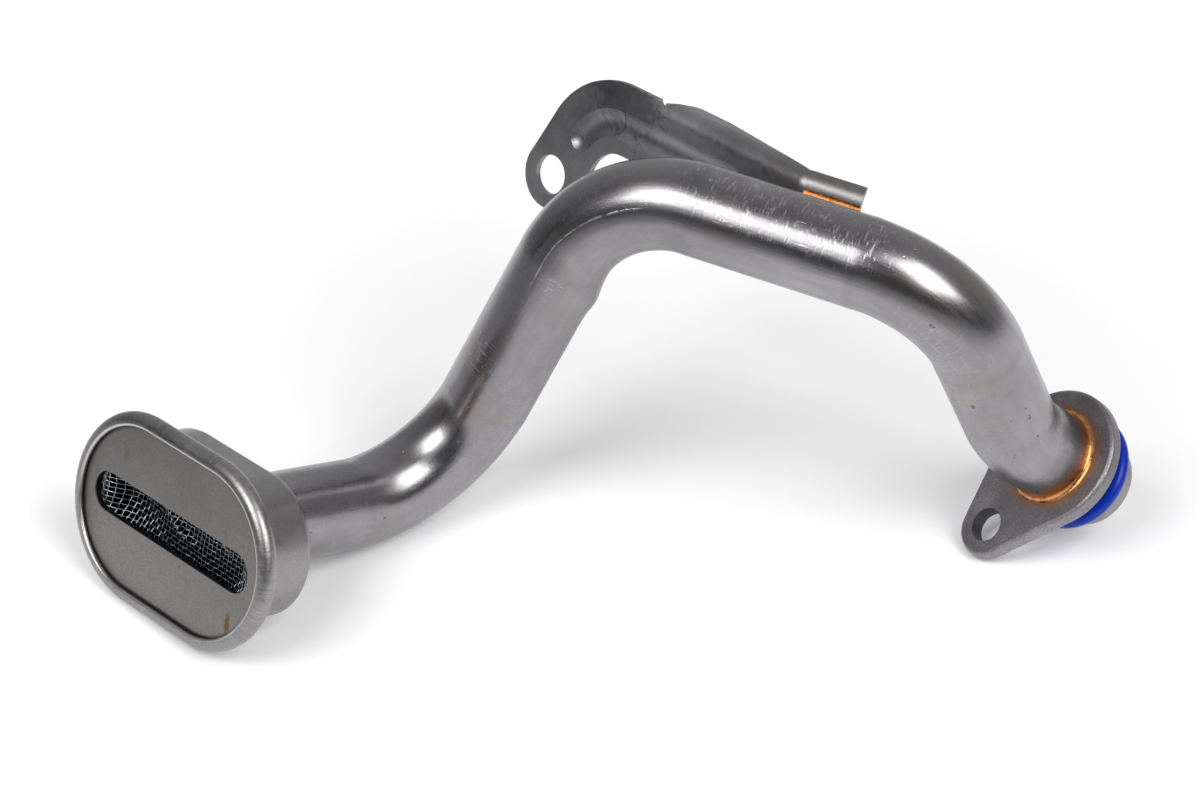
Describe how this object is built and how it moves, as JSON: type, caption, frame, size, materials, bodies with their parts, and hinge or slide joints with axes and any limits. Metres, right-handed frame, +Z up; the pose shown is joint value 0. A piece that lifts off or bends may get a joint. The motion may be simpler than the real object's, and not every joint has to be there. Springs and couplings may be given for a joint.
{
  "type": "oil pickup tube",
  "caption": "Bent steel oil pickup tube with an oblong screened strainer at its inlet, a one-bolt flange with a rubber ring at its outlet and a stamped bracket brazed to its side.",
  "frame": {"origin": "centre of the part's box at its underside, on the surface that the part lies on", "axes": "+X along the part from the strainer to the outlet, +Y away from the side that shows the strainer's slot, +Z up"},
  "size_m": [0.2574, 0.1268, 0.102],
  "materials": {
    "tube_steel": "bare mild steel, satin, with forming marks",
    "strainer_steel": "bare pressed sheet, satin",
    "cover_steel": "bare sheet, dull, with faint brown stains",
    "screen_wire": "bright woven wire",
    "flange_steel": "bare steel, grainy and dull",
    "bracket_steel": "bare sheet, satin, with heat tint",
    "blue_rubber": "smooth, glossy",
    "braze_copper": "copper braze, as flowed"
  },
  "bodies": {
    "root": {"pickup_tube": "tube_steel", "strainer_housing": "strainer_steel", "strainer_cover": "cover_steel", "strainer_screen": "screen_wire", "mounting_flange": "flange_steel", "support_bracket": "bracket_steel", "o_ring": "blue_rubber", "housing_braze": "braze_copper", "flange_braze": "braze_copper", "bracket_braze": "braze_copper"}
  },
  "joints": []
}
